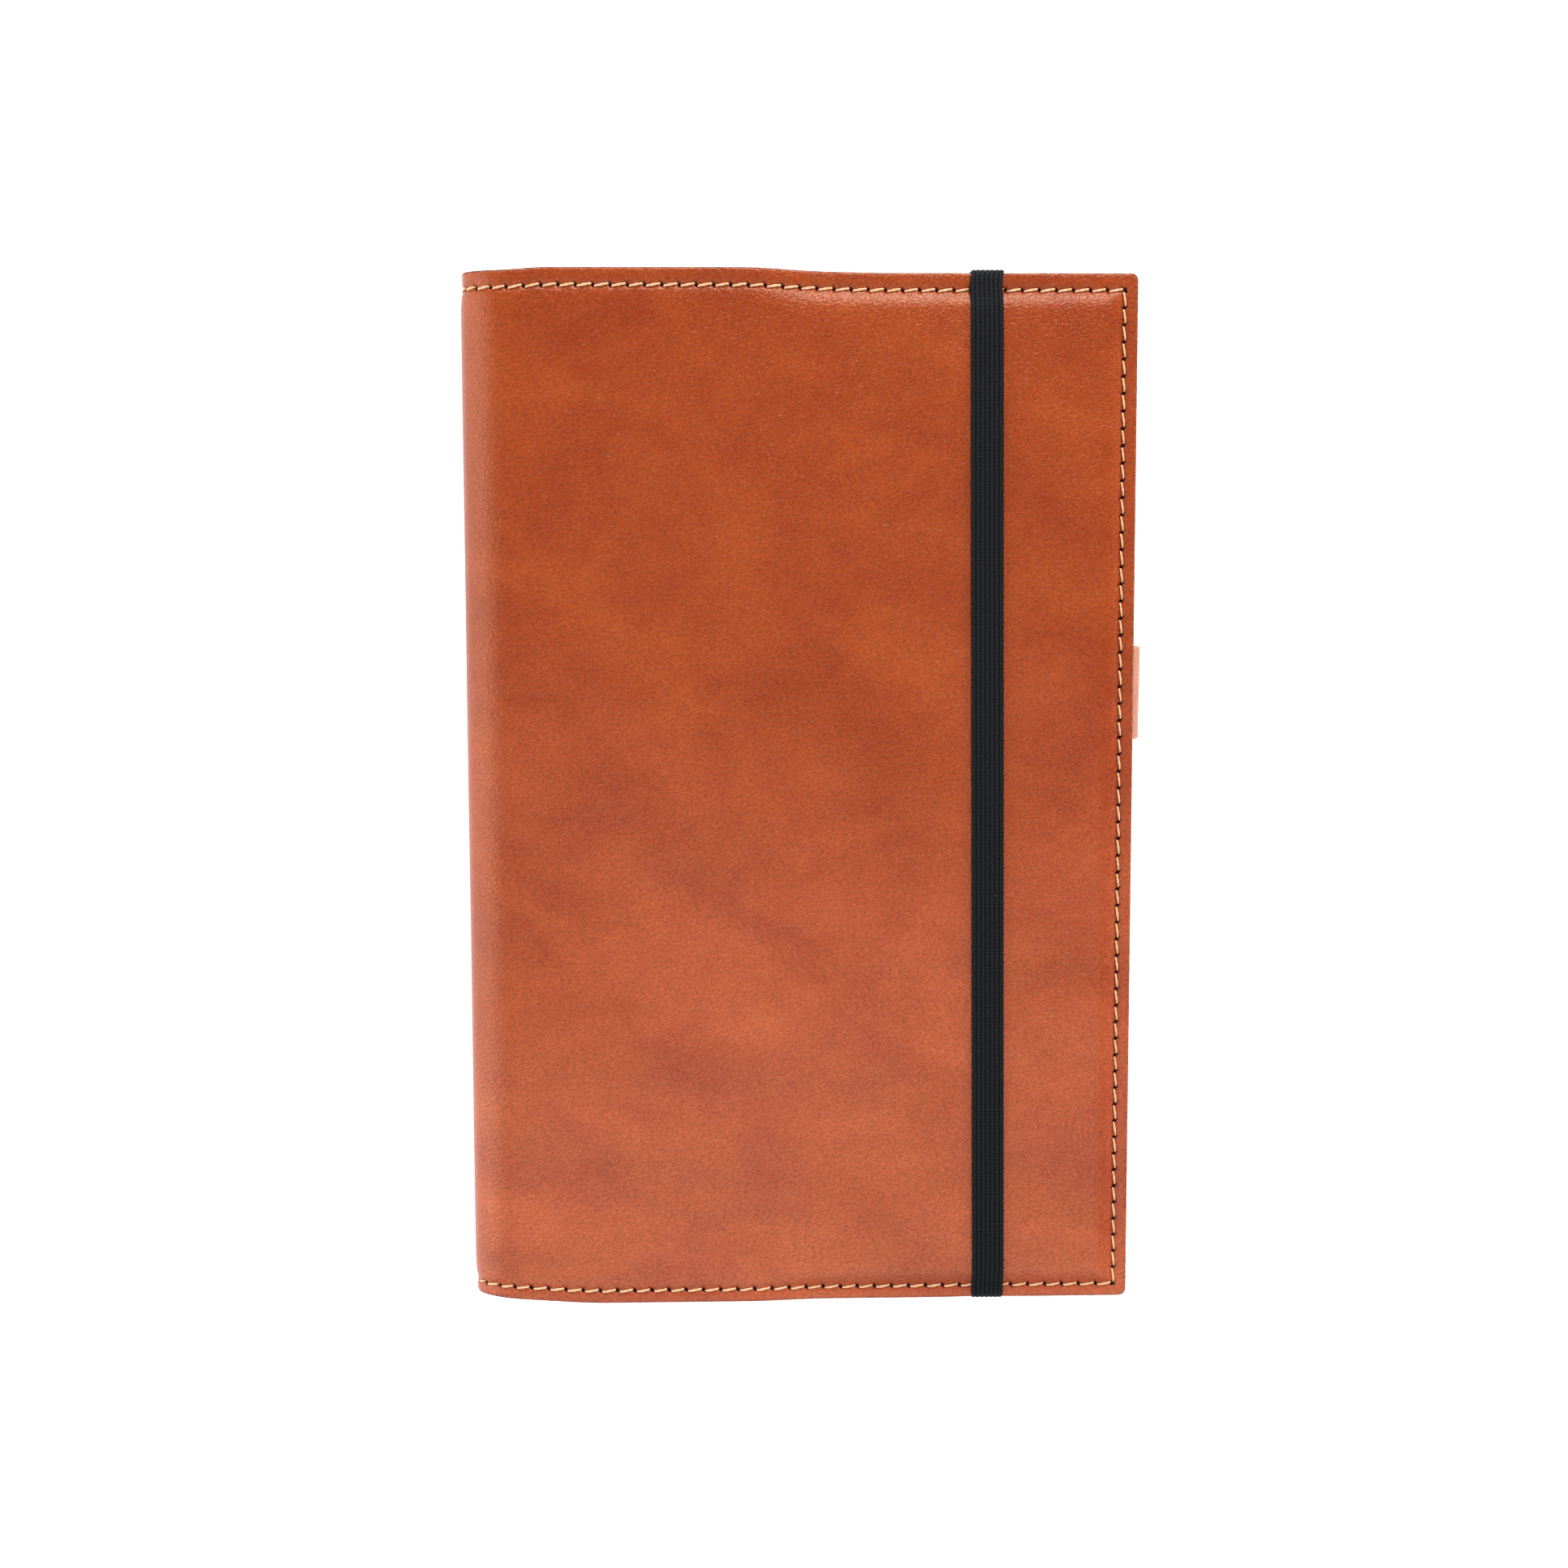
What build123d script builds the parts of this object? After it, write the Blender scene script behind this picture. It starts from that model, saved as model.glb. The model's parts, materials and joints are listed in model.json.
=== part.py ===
from build123d import *
import math
import os

# A leather notebook cover, closed round a notebook and held by an elastic band.
#
# The cover lies on its back. X runs across it, with the spine at -X and the fore-edge at +X.
# Y runs from foot to head, and Z is up. Z = 0 is the outside of the back. Lengths are millimetres.
#
# The spine is one bent piece of leather. It is modelled as narrow strips, each hinged to the next,
# so that it unrolls flat as the front opens. Every hinge axis lies on the leather's outer face.

# Driving dimensions of the cover
cover_height = 220.0       # foot to head
cover_width = 142.0        # closed, spine to fore-edge
spine_height = 19.6        # outside height at the front hinge
fore_edge_height = 17.9    # outside height at the fore-edge, where the band presses the pages
slope_start = 7.6          # from the spine's outside to where the front starts to slope down
leather_t = 1.5
lining_t = 0.6
pocket_t = 1.0
corner_r = 1.4             # leather corners at the fore-edge
pocket_width = 75.0        # from the fore-edge to the pocket's open side
pocket_bevel = 0.6         # along the top edges of the flap
rim_gap = 0.3              # round the board, inside the pocket

# The notebook
board_t = 1.4
endpaper_t = 0.2
case_t = 0.5               # book cloth that joins the two boards round the spine
board_height = 208.0
board_fore_gap = 8.0       # from the leather's fore-edge to the board
board_hinge_gap = 3.0      # from the hinge to the board
endpaper_margin = 1.5      # inside the board's edges
endpaper_hinge_gap = 3.5
page_height = 203.0
page_fore_gap = 10.5       # from the leather's fore-edge to the pages
page_ramp = 8.0            # where the pages climb on to the back pocket
fold_gap = 2.4             # from the back hinge to where the folds start to round
fold_bulge = 4.4           # how far the middle folds stand out towards the spine
signature_count = 8
spine_cloth_t = 0.25
spine_cloth_gap = 0.3      # between the folds and their cloth
spine_cloth_overhang = 0.1 # above and below the folds
headband_w = 1.0
headband_t = 1.2
headband_inset = 0.8       # inside the outline of the folds

# The spine's strips, from the back to the front
strip_lengths = (6.5, 5.2, 5.2, 4.2, 6.2)

# Stitching
stitch_pitch = 3.63
stitch_length = 2.9
stitch_w = 0.8
stitch_h = 0.35
first_stitch_gap = 1.5     # from the hinges to the panels' first stitches
strip_stitch_gap = 0.8     # from the hinges to a strip's stitch
groove_w = 1.0
groove_d = 0.4
seam_inset_head = 3.6
seam_inset_foot = 2.8
seam_inset_fore = 2.9

# The elastic band
band_w = 7.0
band_t = 0.9
band_fore_gap = 31.2       # from the fore-edge to the band's middle
band_gap = 0.15            # between the band and the leather that it crosses
band_tail = 4.3            # length of each end in the seam
band_outer_r = 1.5         # where the band turns over the head and foot
band_inner_r = 0.6
tunnel_side_gap = 0.3      # between the band's ends and the pocket leather over them
tunnel_top_gap = 0.1

# The pen loop, a strip of leather rolled into a tube and sewn down on the back's fore-edge seam
loop_bore_r = 4.1
loop_t = 1.1
loop_length = 19.8         # along Y
loop_middle_y = 21.4
loop_reach = 2.4           # beyond the fore-edge
loop_foot_w = 5.0          # the flat foot that the loop stands on
loop_foot_h = 0.9
loop_foot_drop = 0.1       # how far the foot reaches below the tube
loop_stitch_count = 5

clearance = 0.06           # each side of a strip's ends
body_gap = 0.25            # between the pages and the front's inner face
touch_gap = 0.02           # between pieces that lie against each other

# Values worked out from those above
half_height = cover_height / 2
fore_edge_x = cover_width / 2
seam_foot_y = seam_inset_foot - half_height
seam_head_y = half_height - seam_inset_head
board_half = board_height / 2
page_half = page_height / 2
pocket_edge_x = fore_edge_x - pocket_width
band_x = fore_edge_x - band_fore_gap
lining_in = leather_t + lining_t
case_in = lining_in + case_t
board_in = lining_in + board_t
notebook_in = board_in + endpaper_t
pocket_in = notebook_in + pocket_t
seam_in = lining_in + pocket_t             # depth of the sewn margin round a pocket
strip_count = len(strip_lengths)
loop_r = loop_bore_r + loop_t
loop_x = fore_edge_x + loop_reach - loop_r
loop_foot_z = seam_in + touch_gap
loop_z = loop_foot_z + loop_foot_drop + loop_r


def spine_hinges():
    """(hinge points in XZ from the back to the front, the front's slope, each hinge's turn)."""
    slope = math.atan((spine_height - fore_edge_height) / (cover_width - slope_start))
    turn = (math.pi + slope) / (strip_count + 1)
    headings = [math.pi - turn * (n + 1) for n in range(strip_count)]
    points = [(0.0, 0.0)]
    for length, heading in zip(strip_lengths, headings):
        x, z = points[-1]
        points.append((x + length * math.cos(heading), z + length * math.sin(heading)))
    leftmost = min((a[0] + b[0]) / 2 for a, b in zip(points, points[1:]))
    shift = -fore_edge_x - leftmost
    return [(x + shift, z) for x, z in points], slope, turn


hinges, front_slope, hinge_turn = spine_hinges()
mitre = math.tan(hinge_turn / 2)
back_hinge, front_hinge = hinges[0], hinges[-1]
fold_x = back_hinge[0] + fold_gap
panel_length = (fore_edge_x - front_hinge[0]) / math.cos(front_slope)
flat_fore_x = front_hinge[0] + panel_length    # the front's fore-edge, before it is tilted


def prism(points, y_low, y_high):
    """A closed outline in XZ, run along Y."""
    plane = Plane(origin=(0, y_low, 0), x_dir=(1, 0, 0), z_dir=(0, -1, 0))
    outline = make_face(Polyline(*points, close=True))
    return extrude(plane * outline, amount=y_high - y_low, dir=(0, 1, 0))


def block(x_low, x_high, y_low, y_high, z_low, z_high):
    """A box between two corners."""
    size = (x_high - x_low, y_high - y_low, z_high - z_low)
    return Pos(x_low, y_low, z_low) * Box(*size, align=(Align.MIN, Align.MIN, Align.MIN))


def round_fore_corners(part, x):
    """Rounds the two upright corners at the fore-edge."""
    return fillet(part.edges().filter_by(Axis.Z).filter_by_position(Axis.X, x - 0.1, x + 0.1), corner_r)


# ---- panels, drawn flat with the outside down at z = 0 and the hinge at x = hinge_x ----

def layer(hinge_x, fore_x, low, high, half=half_height):
    """One flat layer between two depths, with its spine end cut on the hinge's mitre."""
    near = hinge_x + low * mitre + clearance
    far = hinge_x + high * mitre + clearance
    return prism([(near, low), (fore_x, low), (fore_x, high), (far, high)], -half, half)


def panel_leather(hinge_x, fore_x):
    """A leather panel with the groove that the stitches lie in, on its outside."""
    panel = round_fore_corners(layer(hinge_x, fore_x, 0, leather_t), fore_x)
    stitch_x = fore_x - seam_inset_fore
    half = groove_w / 2
    for y in (seam_foot_y, seam_head_y):
        panel -= block(hinge_x - 1, stitch_x + half, y - half, y + half, 0, groove_d)
    return panel - block(stitch_x - half, stitch_x + half, seam_foot_y, seam_head_y, 0, groove_d)


def panel_lining(hinge_x, fore_x):
    return round_fore_corners(layer(hinge_x, fore_x, leather_t, lining_in), fore_x)


def panel_pocket(fore_x, with_band_ends):
    """A flap formed over the board, sewn down on three sides and open towards the spine."""
    open_x = fore_x - pocket_width
    rim_half = board_half + rim_gap
    rim_x = fore_x - board_fore_gap + rim_gap
    margin = block(open_x, fore_x, -half_height, half_height, lining_in, seam_in)
    raised = block(open_x, rim_x + pocket_t, -rim_half - pocket_t, rim_half + pocket_t, lining_in, pocket_in)
    rim_edges = raised.faces().sort_by(Axis.Z)[-1].edges() - raised.faces().sort_by(Axis.X)[0].edges()
    pocket = round_fore_corners(margin, fore_x) + chamfer(rim_edges, pocket_bevel)
    tunnel_half = band_w / 2 + tunnel_side_gap
    tunnel_top = lining_in + touch_gap + band_t + tunnel_top_gap
    ends = ((-half_height, -board_half), (board_half, half_height)) if with_band_ends else ()
    for low, high in ends:
        x_low, x_high = band_x - tunnel_half, band_x + tunnel_half
        pocket += block(x_low - pocket_t, x_high + pocket_t, low, high, lining_in, tunnel_top + pocket_t)
        pocket -= block(x_low, x_high, low, high, lining_in, tunnel_top)
    return pocket - block(open_x - 1, rim_x, -rim_half, rim_half, lining_in, notebook_in)


def panel_board(hinge_x, fore_x):
    """A notebook board, with the book cloth that runs on from it to the hinge."""
    board_start = hinge_x + board_hinge_gap
    fore = fore_x - board_fore_gap
    outline = [
        (hinge_x + lining_in * mitre + clearance, lining_in),
        (fore, lining_in),
        (fore, board_in),
        (board_start, board_in),
        (board_start, case_in),
        (hinge_x + case_in * mitre + clearance, case_in),
    ]
    return prism(outline, -board_half, board_half)


def panel_endpaper(hinge_x, fore_x):
    half = board_half - endpaper_margin
    fore = fore_x - board_fore_gap - endpaper_margin
    return block(hinge_x + endpaper_hinge_gap, fore, -half, half, board_in, notebook_in)


def stitch(x, y, along_y):
    """One stitch in its groove on the outside of a flat panel."""
    size = (stitch_w, stitch_length) if along_y else (stitch_length, stitch_w)
    return Pos(x, y, groove_d - stitch_h / 2) * Box(size[0], size[1], stitch_h)


def panel_thread(hinge_x, fore_x):
    """The stitches along the foot, the fore-edge and the head of a panel."""
    stitch_x = fore_x - seam_inset_fore
    across = int((stitch_x - hinge_x - first_stitch_gap) / stitch_pitch)
    upright = round((seam_head_y - seam_foot_y) / stitch_pitch)
    upright_pitch = (seam_head_y - seam_foot_y) / upright
    rows = [
        stitch(stitch_x - stitch_pitch * (n + 0.5), y, False)
        for y in (seam_foot_y, seam_head_y)
        for n in range(across)
    ]
    column = [stitch(stitch_x, seam_foot_y + upright_pitch * (n + 0.5), True) for n in range(upright)]
    return Compound(children=rows + column)


def place_front(part):
    """Turns a flat panel over on to the front: its outside comes up and its hinge to the front hinge."""
    lifted = Pos(0, 0, front_hinge[1]) * mirror(part, about=Plane.XY)
    hinge_line = Axis((front_hinge[0], 0, front_hinge[1]), (0, 1, 0))
    return lifted.rotate(hinge_line, math.degrees(front_slope))


# ---- the spine's strips ----

def strip_frame(n):
    """A strip's plane: x along it from the back to the front, z outwards."""
    (x0, z0), (x1, z1) = hinges[n], hinges[n + 1]
    along = ((x1 - x0) / strip_lengths[n], 0, (z1 - z0) / strip_lengths[n])
    outwards = (-along[2], 0, along[0])
    return Plane(origin=(x0, 0, z0), x_dir=along, z_dir=outwards)


def strip_layer(n, low, high, half=half_height):
    """One layer of a strip between two depths under the leather's outer face."""
    length = strip_lengths[n]
    corners = [
        (low * mitre + clearance, -low),
        (length - low * mitre - clearance, -low),
        (length - high * mitre - clearance, -high),
        (high * mitre + clearance, -high),
    ]
    return strip_frame(n) * prism(corners, -half, half)


def strip_leather(n):
    strip = strip_layer(n, 0, leather_t)
    for y in (seam_foot_y, seam_head_y):
        groove = Pos(strip_lengths[n] / 2, y, -groove_d / 2) * Box(2 * strip_lengths[n], groove_w, groove_d)
        strip -= strip_frame(n) * groove
    return strip


def strip_thread(n):
    length = min(stitch_length, strip_lengths[n] - 2 * strip_stitch_gap)
    bars = [
        strip_frame(n) * Pos(strip_lengths[n] / 2, y, stitch_h / 2 - groove_d)
        * Box(length, stitch_w, stitch_h)
        for y in (seam_foot_y, seam_head_y)
    ]
    return Compound(children=bars)


# ---- the notebook's pages ----

def page_top(x):
    """Height of the pages' top, just under the front pocket."""
    front = front_hinge[1] - (x - front_hinge[0]) * math.tan(front_slope)
    return front - pocket_in / math.cos(front_slope) - body_gap


def page_bottom(x):
    """Height of the pages' bottom: on the back endpaper, then over the back pocket."""
    share = min(1.0, max(0.0, (x - pocket_edge_x + page_ramp) / page_ramp))
    return notebook_in + touch_gap + (pocket_t + touch_gap) * share


def page_signatures():
    """The folded sections, rounded together at the spine."""
    fore = fore_edge_x - page_fore_gap
    stations = (fold_x, pocket_edge_x - page_ramp, pocket_edge_x, fore)
    sections = []

    def height(x, share):
        return page_bottom(x) + (page_top(x) - page_bottom(x)) * share

    for n in range(signature_count):
        low, high = n / signature_count, (n + 1) / signature_count
        middle = (low + high) / 2
        bulge = fold_bulge * (1 - (2 * middle - 1) ** 2)
        outline = [(x, height(x, low)) for x in stations]
        outline += [(x, height(x, high)) for x in reversed(stations)]
        outline.append((fold_x - bulge, height(fold_x, middle)))
        sections.append(prism(outline, -page_half, page_half))
    return Compound(children=sections)


def spine_arc(gap, overhang, thickness, y_low, y_high):
    """A thin curved strip round the folds, standing a gap off them."""
    low, high = page_bottom(fold_x) - overhang, page_top(fold_x) + overhang
    middle_z = (low + high) / 2
    inner = ThreePointArc((fold_x, low), (fold_x - fold_bulge - gap, middle_z), (fold_x, high))
    outer = ThreePointArc((fold_x, high + touch_gap),
                          (fold_x - fold_bulge - gap - thickness, middle_z),
                          (fold_x, low - touch_gap))
    plane = Plane(origin=(0, y_low, 0), x_dir=(1, 0, 0), z_dir=(0, -1, 0))
    face = make_face([inner, Line(inner @ 1, outer @ 0), outer, Line(outer @ 1, inner @ 0)])
    return extrude(plane * face, amount=y_high - y_low, dir=(0, 1, 0))


def block_spine_cloth():
    """The cloth glued round the folds."""
    return spine_arc(spine_cloth_gap, spine_cloth_overhang, spine_cloth_t, -page_half, page_half)


def headbands():
    """The two small woven bands that close the ends of the folds."""
    lows = (-page_half - headband_w - touch_gap, page_half + touch_gap)
    bands = [
        spine_arc(-headband_inset, -headband_inset, headband_t, low, low + headband_w)
        for low in lows
    ]
    return Compound(children=bands)


# ---- the pen loop and the elastic band ----

def loop_cylinder(radius):
    return Pos(loop_x, loop_middle_y, loop_z) * Rot(90, 0, 0) * Cylinder(radius, loop_length)


def pen_loop():
    """The rolled strip, with a flat foot and a groove for its stitches along the floor inside."""
    y_low, y_high = loop_middle_y - loop_length / 2, loop_middle_y + loop_length / 2
    half_foot = loop_foot_w / 2
    half_groove = groove_w / 2
    groove_z = loop_z - loop_bore_r - groove_d
    foot = block(loop_x - half_foot, loop_x + half_foot, y_low, y_high, loop_foot_z, loop_foot_z + loop_foot_h)
    groove = block(loop_x - half_groove, loop_x + half_groove, y_low, y_high, groove_z, loop_z)
    return loop_cylinder(loop_r) + foot - loop_cylinder(loop_bore_r) - groove


def pen_loop_thread():
    """The stitches that hold the loop down, in the groove of its floor."""
    middle = (loop_stitch_count - 1) / 2
    floor_z = loop_z - loop_bore_r
    return Compound(children=[
        Pos(loop_x, loop_middle_y + stitch_pitch * (n - middle), floor_z - groove_d + stitch_h / 2)
        * Box(stitch_w, stitch_length, stitch_h)
        for n in range(loop_stitch_count)
    ])


def elastic_band():
    """A flat band over the front, round head and foot, with its ends in the back seam."""
    edge_x = band_x + band_w / 2
    run_low = front_hinge[1] - (band_x - band_w / 2 - front_hinge[0]) * math.tan(front_slope) + band_gap
    inner_y = half_height + band_gap
    tail_low = lining_in + touch_gap
    tail_high = tail_low + band_t
    ring = Rectangle(2 * (inner_y + band_t), run_low + band_t - tail_low)
    ring = fillet(ring.vertices().sort_by(Axis.Y)[2:], band_outer_r)
    hollow = Rectangle(2 * inner_y, run_low - tail_high)
    hollow = fillet(hollow.vertices().sort_by(Axis.Y)[2:], band_inner_r)
    shape = Pos(0, (run_low + band_t + tail_low) / 2) * ring
    shape -= Pos(0, (run_low + tail_high) / 2) * hollow
    shape -= Pos(0, tail_low + band_t / 2) * Rectangle(2 * (half_height - band_tail), 4 * band_t)
    plane = Plane(origin=(edge_x - band_w, 0, 0), x_dir=(0, 1, 0), z_dir=(1, 0, 0))
    return extrude(plane * shape, amount=band_w, dir=(1, 0, 0))


def write(node, shape):
    export_step(shape, os.path.join("parts", node + ".step"))


def main():
    os.makedirs("parts", exist_ok=True)
    back_x, front_x = back_hinge[0], front_hinge[0]

    write("back_leather", panel_leather(back_x, fore_edge_x))
    write("back_lining", panel_lining(back_x, fore_edge_x))
    write("back_pocket", panel_pocket(fore_edge_x, True))
    write("back_thread", panel_thread(back_x, fore_edge_x))
    write("notebook_back_board", panel_board(back_x, fore_edge_x))
    write("notebook_back_endpaper", panel_endpaper(back_x, fore_edge_x))

    write("front_leather", place_front(panel_leather(front_x, flat_fore_x)))
    write("front_lining", place_front(panel_lining(front_x, flat_fore_x)))
    write("front_pocket", place_front(panel_pocket(flat_fore_x, False)))
    write("front_thread", place_front(panel_thread(front_x, flat_fore_x)))
    write("notebook_front_board", place_front(panel_board(front_x, flat_fore_x)))
    write("notebook_front_endpaper", place_front(panel_endpaper(front_x, flat_fore_x)))

    for n in range(strip_count):
        write(f"spine_leather_{n + 1}", strip_leather(n))
        write(f"spine_lining_{n + 1}", strip_layer(n, leather_t, lining_in))
        write(f"spine_thread_{n + 1}", strip_thread(n))
        write(f"notebook_spine_{n + 1}", strip_layer(n, lining_in, case_in, board_half))

    write("page_signatures", page_signatures())
    write("block_spine_cloth", block_spine_cloth())
    write("headbands", headbands())
    write("pen_loop", pen_loop())
    write("pen_loop_thread", pen_loop_thread())
    write("elastic_band", elastic_band())

    print("hinges", [(round(x, 4), round(z, 4)) for x, z in hinges])
    print("slope", round(math.degrees(front_slope), 4), "turn", round(math.degrees(hinge_turn), 4))


main()
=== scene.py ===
import json
import math
import random

import bpy
import numpy as np
from mathutils import Euler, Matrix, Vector, geometry

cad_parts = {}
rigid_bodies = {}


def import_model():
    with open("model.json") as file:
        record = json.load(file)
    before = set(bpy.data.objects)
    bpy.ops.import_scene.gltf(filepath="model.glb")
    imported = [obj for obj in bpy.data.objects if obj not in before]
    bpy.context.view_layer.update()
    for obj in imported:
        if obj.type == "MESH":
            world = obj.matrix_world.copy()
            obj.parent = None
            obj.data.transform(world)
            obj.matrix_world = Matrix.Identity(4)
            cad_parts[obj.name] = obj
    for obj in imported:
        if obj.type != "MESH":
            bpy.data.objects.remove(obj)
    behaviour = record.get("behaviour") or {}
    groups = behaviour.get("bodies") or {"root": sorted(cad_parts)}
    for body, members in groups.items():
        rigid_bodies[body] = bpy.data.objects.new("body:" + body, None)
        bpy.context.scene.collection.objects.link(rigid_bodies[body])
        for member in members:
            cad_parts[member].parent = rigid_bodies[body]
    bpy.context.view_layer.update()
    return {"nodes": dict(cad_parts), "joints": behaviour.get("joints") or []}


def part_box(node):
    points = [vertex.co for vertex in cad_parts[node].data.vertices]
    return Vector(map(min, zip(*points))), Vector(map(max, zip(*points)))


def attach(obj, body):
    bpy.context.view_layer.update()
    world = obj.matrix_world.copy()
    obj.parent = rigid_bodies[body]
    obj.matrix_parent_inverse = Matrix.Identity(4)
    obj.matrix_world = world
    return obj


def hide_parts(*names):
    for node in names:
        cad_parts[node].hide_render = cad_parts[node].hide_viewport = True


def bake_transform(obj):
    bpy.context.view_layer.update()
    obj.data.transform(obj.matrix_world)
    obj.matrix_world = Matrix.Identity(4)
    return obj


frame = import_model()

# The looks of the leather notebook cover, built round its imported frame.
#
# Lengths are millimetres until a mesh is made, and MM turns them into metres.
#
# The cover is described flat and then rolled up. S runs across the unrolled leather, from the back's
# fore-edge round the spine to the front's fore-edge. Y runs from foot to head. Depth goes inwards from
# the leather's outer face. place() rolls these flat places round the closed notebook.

MM = 0.001
draw = random.Random(11)


def box_mm(node):
    """The low and high corners of a CAD node's box, in millimetres."""
    low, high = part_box(node)
    return low / MM, high / MM


# ---- sizes and places, worked out from the frame ----

folds = [joint for joint in frame["joints"] if joint["type"] == "hinge"]
chain = [folds[0]["parent"]] + [joint["child"] for joint in folds]
hinges = [np.array([joint["pos_m"][0], joint["pos_m"][2]]) / MM for joint in folds]
turn = math.radians(folds[0]["range_deg"][1])

leather_high = box_mm("back_leather")[1]
lining_high = box_mm("back_lining")[1]
board_high = box_mm("notebook_back_board")[1]
pocket_low, pocket_high = box_mm("back_pocket")
thread_low, thread_high = box_mm("back_thread")
pages_low, pages_high = box_mm("page_signatures")
band_low, band_high = box_mm("elastic_band")
loop_low, loop_high = box_mm("pen_loop")

fore_x, half_height = leather_high.x, leather_high.y
lining_from, lining_in = leather_high.z, lining_high.z
board_in = board_high.z
notebook_in = box_mm("notebook_back_endpaper")[1].z
pocket_in = pocket_high.z
pocket_t = pocket_in - notebook_in
pocket_width = pocket_high.x - pocket_low.x
board_half, board_gap = board_high.y, fore_x - board_high.x
page_half = pages_high.y

thread_w = 0.8
seam_inset = fore_x - thread_high.x + thread_w / 2
seam_head, seam_foot = thread_high.y - thread_w / 2, thread_low.y + thread_w / 2
head_pitch, column_pitch, foot_pitch = 3.56, 3.63, 3.7
hinge_cloth, case_cloth_t = 4.0, 0.5
board_back_gap, pastedown_back_gap, pastedown_margin = 3.2, 4.2, 1.5

along = [np.array([math.cos(math.pi - turn * n), math.sin(math.pi - turn * n)]) for n in range(len(chain))]
strip_lengths = [float(np.linalg.norm(b - a)) for a, b in zip(hinges, hinges[1:])]
slope_cos = along[-1][0]
back_length = fore_x - hinges[0][0]
front_length = (box_mm("front_leather")[1].x - hinges[-1][0]) / slope_cos
hinge_s = list(back_length + np.cumsum([0.0] + strip_lengths))
total_s = hinge_s[-1] + front_length
half_before = [strip_lengths[0] / 2] + [length / 2 for length in strip_lengths]
half_after = [length / 2 for length in strip_lengths] + [strip_lengths[-1] / 2]
bend_end = [s + half for s, half in zip(hinge_s, half_after)]
bend_start = [hinge_s[0] - half_before[0]] + bend_end[:-1]
cuts = [0.0] + bend_end[:-1] + [total_s]
last_piece = len(folds) - 1
band_x = (band_low.x + band_high.x) / 2
band_s = hinge_s[-1] + (band_x - hinges[-1][0]) / slope_cos


# ---- the flat sheet and how it is rolled up ----

def smooth(value, low, high):
    """0 below low, 1 above high, and a smooth step between."""
    t = np.clip((np.asarray(value, float) - low) / (high - low), 0, 1)
    return t * t * (3 - 2 * t)


def fore_distance(s):
    """Distance from the nearer fore-edge along the flat sheet."""
    return np.minimum(s, total_s - s)


def seam_distance(s, y):
    """Distance inside the sewn outline."""
    return np.minimum(fore_distance(s) - seam_inset, np.minimum(y - seam_foot, seam_head - y))


def over_pocket(s):
    """1 where a pocket lies under the leather, fading out past its open side."""
    return 1 - smooth(fore_distance(s), pocket_width - 10, pocket_width + 8)


def sink(s, y):
    """How far the soft layers sink beyond the board, at the sewn margins and under the band."""
    margin = np.exp(-(np.clip(seam_distance(s, y) - 0.1, 0, None) / 2.2) ** 1.7)
    front = smooth(s, hinge_s[2], hinge_s[4])
    depth = 0.35 + front * (1.2 * over_pocket(s) - 0.1)
    pinch = 0.45 * front * np.exp(-((s - band_s) / 6) ** 2) * smooth(np.abs(y), half_height - 7, half_height)
    ripple = 0.05 * np.sin(s / 9 + 0.7) * np.sin(y / 14 + 1.3) + 0.04 * np.sin(s / 23 - y / 17)
    return depth * margin + pinch + ripple * front * (1 - margin)


def pull(s, y):
    """How far the head and foot edges are drawn in, where pockets or the spine's folds tighten them."""
    front = smooth(s, hinge_s[1], hinge_s[3])
    bow = smooth(s, hinge_s[-1], hinge_s[-1] + 12) * (1 - smooth(s, hinge_s[-1] + 50, hinge_s[-1] + 85))
    head = front * (0.45 * over_pocket(s) - 0.6 * bow)
    foot = front * (0.05 * over_pocket(s) + 1.3 * (1 - smooth(s, hinge_s[-1] - 4, hinge_s[-1] + 22)))
    drawn_in = np.where(y > 0, head, -foot)
    return drawn_in * smooth(np.abs(y), half_height - 25, half_height)


def bend(s, depth):
    """X and Z of places on the sheet, rolled round the notebook."""
    point = np.empty((len(s), 2))
    heading = np.empty((len(s), 2))
    on_back, on_front = s <= bend_start[0], s > bend_end[-1]
    point[on_back] = np.array([fore_x, 0.0]) + s[on_back, None] * along[0]
    heading[on_back] = along[0]
    point[on_front] = hinges[-1] + (s[on_front, None] - hinge_s[-1]) * along[-1]
    heading[on_front] = along[-1]
    for k, hinge in enumerate(hinges):
        here = (s > bend_start[k]) & (s <= bend_end[k])
        t = ((s[here] - bend_start[k]) / (bend_end[k] - bend_start[k]))[:, None]
        before, after = half_before[k] * along[k], half_after[k] * along[k + 1]
        point[here] = hinge - (1 - t) ** 2 * before + t ** 2 * after
        heading[here] = (1 - t) * before + t * after
    heading /= np.linalg.norm(heading, axis=1)[:, None]
    outward = np.column_stack([-heading[:, 1], heading[:, 0]])
    return point - np.asarray(depth)[:, None] * outward


def place(s, y, depth, soft=True):
    """Flat places as points in the frame. Soft layers follow the sunk margins; boards don't."""
    s, y, depth = (np.asarray(v, float) for v in np.broadcast_arrays(s, y, depth))
    if soft:
        depth = depth + sink(s, y)
        y = y - pull(s, y)
    xz = bend(s, depth)
    return np.column_stack([xz[:, 0], y, xz[:, 1]])


# ---- meshes ----

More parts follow.
